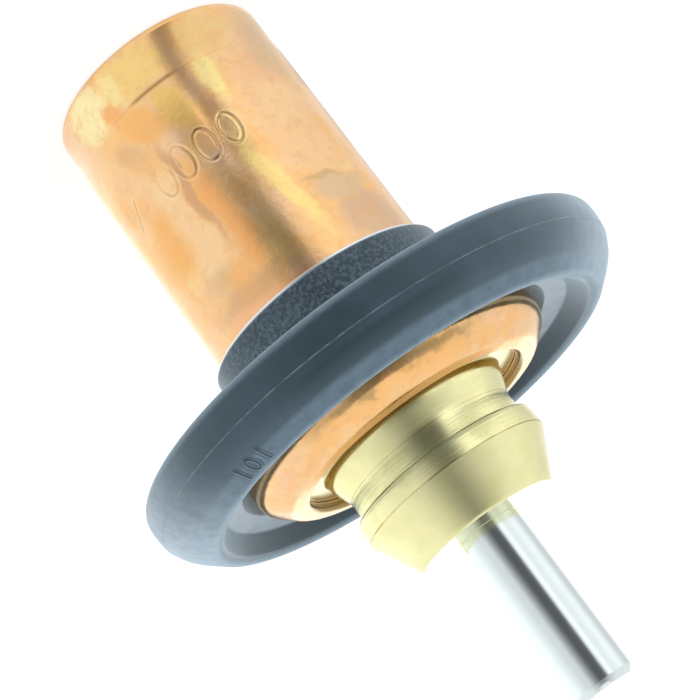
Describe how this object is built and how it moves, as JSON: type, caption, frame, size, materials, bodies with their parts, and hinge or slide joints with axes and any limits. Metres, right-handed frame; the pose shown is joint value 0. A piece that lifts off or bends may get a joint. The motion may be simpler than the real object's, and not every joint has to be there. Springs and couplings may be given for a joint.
{
  "type": "engine thermostat",
  "caption": "Wax thermostat insert: a copper bulb with a moulded rubber valve ring, a brass guide and a sliding steel pin.",
  "frame": {"origin": "centre of the copper cup's flat closed end", "axes": "+Z along the turning axis, from the closed end towards the pin's free end"},
  "size_m": [0.0498, 0.0498, 0.072],
  "materials": {
    "copper": "drawn copper, lightly tarnished",
    "wax": "wax filled with metal powder",
    "rubber": "smooth moulded",
    "brass": "turned",
    "ptfe": "smooth",
    "ground_steel": "ground and polished",
    "plate_steel": "pressed",
    "valve_rubber": "moulded, slightly dusty"
  },
  "bodies": {
    "element": {"wax_cup": "copper", "wax_charge": "wax", "diaphragm": "rubber", "guide": "brass", "rubber_plug": "rubber", "valve_plate": "plate_steel", "valve_rubber": "valve_rubber"},
    "piston": {"piston_pin": "ground_steel", "backup_disc": "ptfe"}
  },
  "joints": [
    {"name": "piston_slide", "type": "slide", "parent": "element", "child": "piston", "axis": [0, 0, 1], "range_m": [0, 0.0075], "deforming": ["rubber_plug"]}
  ]
}
